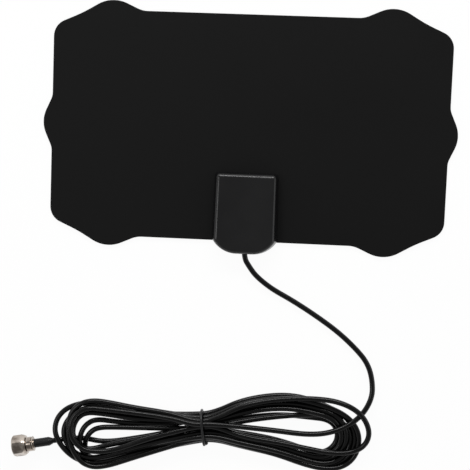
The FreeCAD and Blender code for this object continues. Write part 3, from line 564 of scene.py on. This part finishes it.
# %% [markdown]
# ## Trees of Geometry Nodes
# The tie and the nut's thread are both a round section swept along a path, so they share the last steps of
# a tree. They could be bevelled curves like the cable, but a tree keeps every size as a named input that can
# be changed. The tree ends in Realize Instances and Set Material, and the result is turned into a plain
# mesh, because the exported model keeps meshes only.

# %% The first and the last steps of a tree
GEOMETRY, ROTATION = "NodeSocketGeometry", "NodeSocketRotation"


def start_tree(name, inputs):
    """A tree with named inputs, and its first node."""
    tree = bpy.data.node_groups.new(name, "GeometryNodeTree")
    for label, kind in [("Geometry", GEOMETRY)] + inputs:
        tree.interface.new_socket(label, in_out="INPUT", socket_type=kind)
    tree.interface.new_socket("Geometry", in_out="OUTPUT", socket_type=GEOMETRY)
    return tree, tree.nodes.new("NodeGroupInput")


def swept(tree, path, radius, sides):
    """A round section, whose radius comes from a socket, swept along the path."""
    section = tree.nodes.new("GeometryNodeCurvePrimitiveCircle")
    section.inputs["Resolution"].default_value = sides
    sweep = tree.nodes.new("GeometryNodeCurveToMesh")
    sweep.inputs["Fill Caps"].default_value = True
    tree.links.new(radius, section.inputs["Radius"])
    tree.links.new(path, sweep.inputs["Curve"])
    tree.links.new(section.outputs["Curve"], sweep.inputs["Profile Curve"])
    return sweep.outputs["Mesh"]


def end_tree(tree, mesh, material):
    """Smooths the mesh, makes it real and gives it its material."""
    smooth = tree.nodes.new("GeometryNodeSetShadeSmooth")
    realize = tree.nodes.new("GeometryNodeRealizeInstances")
    painted = tree.nodes.new("GeometryNodeSetMaterial")
    painted.inputs["Material"].default_value = material
    leave = tree.nodes.new("NodeGroupOutput")
    tree.links.new(mesh, smooth.inputs["Geometry"])
    tree.links.new(smooth.outputs["Geometry"], realize.inputs["Geometry"])
    tree.links.new(realize.outputs["Geometry"], painted.inputs["Geometry"])
    tree.links.new(painted.outputs["Geometry"], leave.inputs["Geometry"])


print("steps of a tree:", [step.__name__ for step in (start_tree, swept, end_tree)])

# %% From a tree to a plain mesh


def made_by_tree(name, host, tree, sizes, material):
    """Runs the tree on the host mesh and keeps the result as a plain mesh."""
    piece = bpy.data.objects.new(name, host)
    scene.collection.objects.link(piece)
    modifier = piece.modifiers.new(name, "NODES")
    modifier.node_group = tree
    for item in tree.interface.items_tree:
        if item.in_out == "INPUT" and item.name in sizes:
            modifier[item.identifier] = sizes[item.name]
    shown = piece.evaluated_get(bpy.context.evaluated_depsgraph_get())
    result = bpy.data.meshes.new_from_object(shown)
    piece.modifiers.remove(modifier)
    piece.data = result
    result.name = name
    result.materials.clear()
    result.materials.append(material)
    return piece


print("meshes before the trees:", len(bpy.data.meshes))

# %% [markdown]
# ## The wire tie
# A plastic-covered wire goes once round the waist of the hank and its two ends are twisted together at the
# lower side. It could be a plain ring, but the twist is what shows that it is a tie. The wire follows a path,
# which is a job for Geometry Nodes: the path is a chain of points, and the tree turns it into a smooth curve
# and sweeps a round section along it.

# %% The path of the wire
TIE_WIRE = 1.5  # mm, the wire's diameter
TIE_SHIFT = -1.0  # mm along the bundle
# Points round the bundle, mm across it and above the table: up the lower side, over it and back under it
TIE_ROUND = [
    (-9.8, 3.2), (-9.9, 5.6), (-8.6, 8.2), (-4.5, 9.6), (0.0, 10.9), (3.1, 11.6), (6.2, 10.6), (8.9, 8.4),
    (10.1, 5.2), (9.6, 1.6), (6.5, 0.75), (0.0, 0.75), (-6.5, 0.75), (-9.2, 1.2), (-9.9, 2.6),
]
# Where the twist starts, mm along the bundle, across it and above the table
TWIST_ALONG, TWIST_ACROSS, TWIST_HEIGHT = TIE_SHIFT + 0.5, -8.9, 2.8
TWIST_TURNS = 1.0
TWIST_PITCH = 1.1
TWIST_STEPS = 14
FIRST_END, SECOND_END = math.pi * 0.5, math.pi * 1.5


def twisted_end(phase):
    """One of the two ends: it winds round the other, out from the bundle, and is cut short."""
    points = []
    for i in range(TWIST_STEPS + 1):
        turn = TWIST_TURNS * i / TWIST_STEPS
        angle = 2 * math.pi * turn + phase
        along = TWIST_ALONG + TIE_WIRE / 2 * math.cos(angle)
        height = TWIST_HEIGHT + TIE_WIRE / 2 * math.sin(angle)
        points.append(by_the_tie(along, TWIST_ACROSS - TWIST_PITCH * turn, height))
    return points


round_the_bundle = [by_the_tie(TIE_SHIFT, across, height) for across, height in TIE_ROUND]
wire_paths = [round_the_bundle + twisted_end(FIRST_END), round_the_bundle[:1] + twisted_end(SECOND_END)]
print("wire path points:", [len(path) for path in wire_paths])

# %% Sweep the wire of the tie
TIE_STEP = 0.5  # mm between two rings of the mesh
TIE_SIDES = 12

tie_tree, into = start_tree("tie_wire", [("Wire radius", FLOAT), ("Step", FLOAT)])
chain = tie_tree.nodes.new("GeometryNodeMeshToCurve")
tie_tree.links.new(into.outputs["Geometry"], chain.inputs["Mesh"])
smooth_path = tie_tree.nodes.new("GeometryNodeCurveSplineType")
smooth_path.spline_type = "CATMULL_ROM"
tie_tree.links.new(chain.outputs["Curve"], smooth_path.inputs["Curve"])
even = tie_tree.nodes.new("GeometryNodeResampleCurve")
even.mode = "LENGTH"
tie_tree.links.new(smooth_path.outputs["Curve"], even.inputs["Curve"])
tie_tree.links.new(into.outputs["Step"], even.inputs["Length"])
wire = swept(tie_tree, even.outputs["Curve"], into.outputs["Wire radius"], TIE_SIDES)
end_tree(tie_tree, wire, finishes["tie_cover"])

tie_host = bpy.data.meshes.new("tie_path")
corners, edges = [], []
for path in wire_paths:
    edges += [(len(corners) + i, len(corners) + i + 1) for i in range(len(path) - 1)]
    corners += [tuple(v * MM for v in point) for point in path]
tie_host.from_pydata(corners, edges, [])
tie_sizes = {"Wire radius": TIE_WIRE / 2 * MM, "Step": TIE_STEP * MM}
tie = made_by_tree("tie_wire", tie_host, tie_tree, tie_sizes, finishes["tie_cover"])
print(tie.name, "faces:", len(tie.data.polygons))

# %% [markdown]
# ## The thread in the nut
# The nut has a fine inside thread that screws on to the set's socket. The solid has a plain bore in its
# place. A cut thread would be costly and hardly seen, and a bump in the finish would not stand out at the
# nut's mouth. A thread is a ridge that follows a spiral, so a tree sweeps a small round section along one.

# %% Thread ridge
THREAD_START = 0.7  # mm in from the nut's mouth
THREAD_TURNS = 5.4
THREAD_PITCH = 0.794  # mm, 32 turns to an inch
THREAD_RADIUS = 4.4  # mm, the radius of the nut's bore
RIDGE = 0.3  # mm, the radius of the ridge
SPIRAL_STEPS = 32  # in a turn
RIDGE_SIDES = 8

thread_tree, into = start_tree("nut_thread", [
    ("Turns", FLOAT), ("Radius", FLOAT), ("Height", FLOAT), ("Ridge", FLOAT), ("Place", VECTOR),
    ("Turn", ROTATION),
])
coil = thread_tree.nodes.new("GeometryNodeCurveSpiral")
coil.inputs["Resolution"].default_value = SPIRAL_STEPS
for label, socket in (("Turns", "Rotations"), ("Radius", "Start Radius"), ("Radius", "End Radius"),
                      ("Height", "Height")):
    thread_tree.links.new(into.outputs[label], coil.inputs[socket])
ridge = swept(thread_tree, coil.outputs["Curve"], into.outputs["Ridge"], RIDGE_SIDES)
# The spiral stands upright, so it is turned on to the connector's axis and moved into the nut.
move = thread_tree.nodes.new("GeometryNodeTransform")
thread_tree.links.new(ridge, move.inputs["Geometry"])
thread_tree.links.new(into.outputs["Place"], move.inputs["Translation"])
thread_tree.links.new(into.outputs["Turn"], move.inputs["Rotation"])
end_tree(thread_tree, move.outputs["Geometry"], finishes["nickel_plate"])

thread_sizes = {
    "Turns": THREAD_TURNS, "Radius": THREAD_RADIUS * MM, "Height": THREAD_TURNS * THREAD_PITCH * MM,
    "Ridge": RIDGE * MM, "Place": [v * MM for v in by_the_plug(THREAD_START)],
    "Turn": (0.0, math.pi / 2, PLUG_TURN),
}
thread_host = bpy.data.meshes.new("nut_thread_host")
thread = made_by_tree("nut_thread", thread_host, thread_tree, thread_sizes, finishes["nickel_plate"])
print(thread.name, "faces:", len(thread.data.polygons))

# %% [markdown]
# ## The table
# The antenna lies on a plain white table that shows hardly any shadow. A matt floor alone would turn grey
# away from the lamps, and a floor that only glows would have no shadow at all. So the floor shows mostly its
# own white to the camera and to reflections, and keeps a share of the real shadow.

# %% Floor
FLOOR_HALF = 4.0  # metres
FLOOR_DROP = 0.0001  # metres, so that it doesn't lie in the same plane as the undersides
floor_mesh = bpy.data.meshes.new("floor")
floor_corners = [
    (side_x * FLOOR_HALF, side_y * FLOOR_HALF, -FLOOR_DROP)
    for side_x, side_y in ((-1, -1), (1, -1), (1, 1), (-1, 1))
]
floor_mesh.from_pydata(floor_corners, [], [(0, 1, 2, 3)])
floor = bpy.data.objects.new("floor", floor_mesh)
scene.collection.objects.link(floor)
print("floor:", FLOOR_HALF * 2, "m square")

# %% The floor's finish
FLOOR_WHITE = 0.95  # share of its own white that the floor shows
TABLE_PAINT = 0.93

white_table = bpy.data.materials.new("white_table")
white_table.use_nodes = True
nodes, links = white_table.node_tree.nodes, white_table.node_tree.links
nodes.clear()
matt = nodes.new("ShaderNodeBsdfDiffuse")
matt.inputs["Color"].default_value = (TABLE_PAINT, TABLE_PAINT, TABLE_PAINT, 1.0)
glow = nodes.new("ShaderNodeEmission")
glow.inputs["Strength"].default_value = 1.0
rays = nodes.new("ShaderNodeLightPath")
seen = rays.outputs["Is Camera Ray"]
for kind in ("Is Glossy Ray", "Is Transmission Ray"):
    either = nodes.new("ShaderNodeMath")
    either.operation = "MAXIMUM"
    links.new(seen, either.inputs[0])
    links.new(rays.outputs[kind], either.inputs[1])
    seen = either.outputs[0]
share = nodes.new("ShaderNodeMath")
share.operation = "MULTIPLY"
share.inputs[1].default_value = FLOOR_WHITE
mixed = nodes.new("ShaderNodeMixShader")
surface = nodes.new("ShaderNodeOutputMaterial")
links.new(seen, share.inputs[0])
links.new(share.outputs[0], mixed.inputs["Fac"])
links.new(matt.outputs[0], mixed.inputs[1])
links.new(glow.outputs[0], mixed.inputs[2])
links.new(mixed.outputs[0], surface.inputs["Surface"])
floor_mesh.materials.append(white_table)
print(white_table.name, "nodes:", len(nodes))

# %% [markdown]
# ## The light
# The photograph has soft light from the top of the picture. An even white sky would be simplest, but the
# flat black sheet faces up and would mirror it as grey. So the sky is white near the horizon and dim
# overhead: the sheet mirrors the dim part, while rounded edges, the cable and the metal catch the light. One
# wide lamp at the top makes the highlights, and two weak ones at the sides lift the nut and the loops.

# %% Sky
WHITE_UP_TO, DIM_FROM = 0.15, 0.70  # how far up: 0 is the horizon, 1 is overhead
SKY_WHITE, SKY_DIM = 1.0, 0.3

world = bpy.data.worlds.new("studio")
scene.world = world
world.use_nodes = True
nodes, links = world.node_tree.nodes, world.node_tree.links
sky = nodes["Background"]
sky.inputs["Color"].default_value = (1.0, 1.0, 1.0, 1.0)
direction = nodes.new("ShaderNodeTexCoord")
upward = nodes.new("ShaderNodeSeparateXYZ")
fade = nodes.new("ShaderNodeMapRange")
fade.inputs["From Min"].default_value = WHITE_UP_TO
fade.inputs["From Max"].default_value = DIM_FROM
fade.inputs["To Min"].default_value = SKY_WHITE
fade.inputs["To Max"].default_value = SKY_DIM
links.new(direction.outputs["Generated"], upward.inputs["Vector"])
links.new(upward.outputs["Z"], fade.inputs["Value"])
links.new(fade.outputs["Result"], sky.inputs["Strength"])
print("sky fades from", SKY_WHITE, "to", SKY_DIM)

# %% Lamps
LAMPS_AIM = Vector((0.0, -0.05, 0.0))


def soft_lamp(name, place, *, width, height, watts):
    """An area lamp that faces the middle of the antenna."""
    lamp = bpy.data.lights.new(name, "AREA")
    lamp.shape = "RECTANGLE"
    lamp.size = width
    lamp.size_y = height
    lamp.energy = watts
    holder = bpy.data.objects.new(name, lamp)
    scene.collection.objects.link(holder)
    look = (Vector(place) - LAMPS_AIM).to_track_quat("Z", "Y")
    holder.matrix_world = Matrix.Translation(Vector(place)) @ look.to_matrix().to_4x4()


soft_lamp("key_lamp", (0.0, 0.70, 0.56), width=0.9, height=0.20, watts=6.4)
soft_lamp("right_lamp", (0.75, -0.05, 0.40), width=0.5, height=0.30, watts=0.4)
soft_lamp("left_lamp", (-0.50, -0.05, 0.72), width=0.3, height=0.30, watts=0.9)
scene.view_settings.view_transform = "Standard"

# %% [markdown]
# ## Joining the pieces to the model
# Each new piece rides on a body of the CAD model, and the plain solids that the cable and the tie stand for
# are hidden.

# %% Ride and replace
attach(cable, "antenna")
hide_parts("coax_lead", "cable_hank", "coax_tail")
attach(tie, "antenna")
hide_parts("twist_tie")
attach(thread, "nut")
print("pieces:", [piece.name for piece in (cable, tie, thread)])
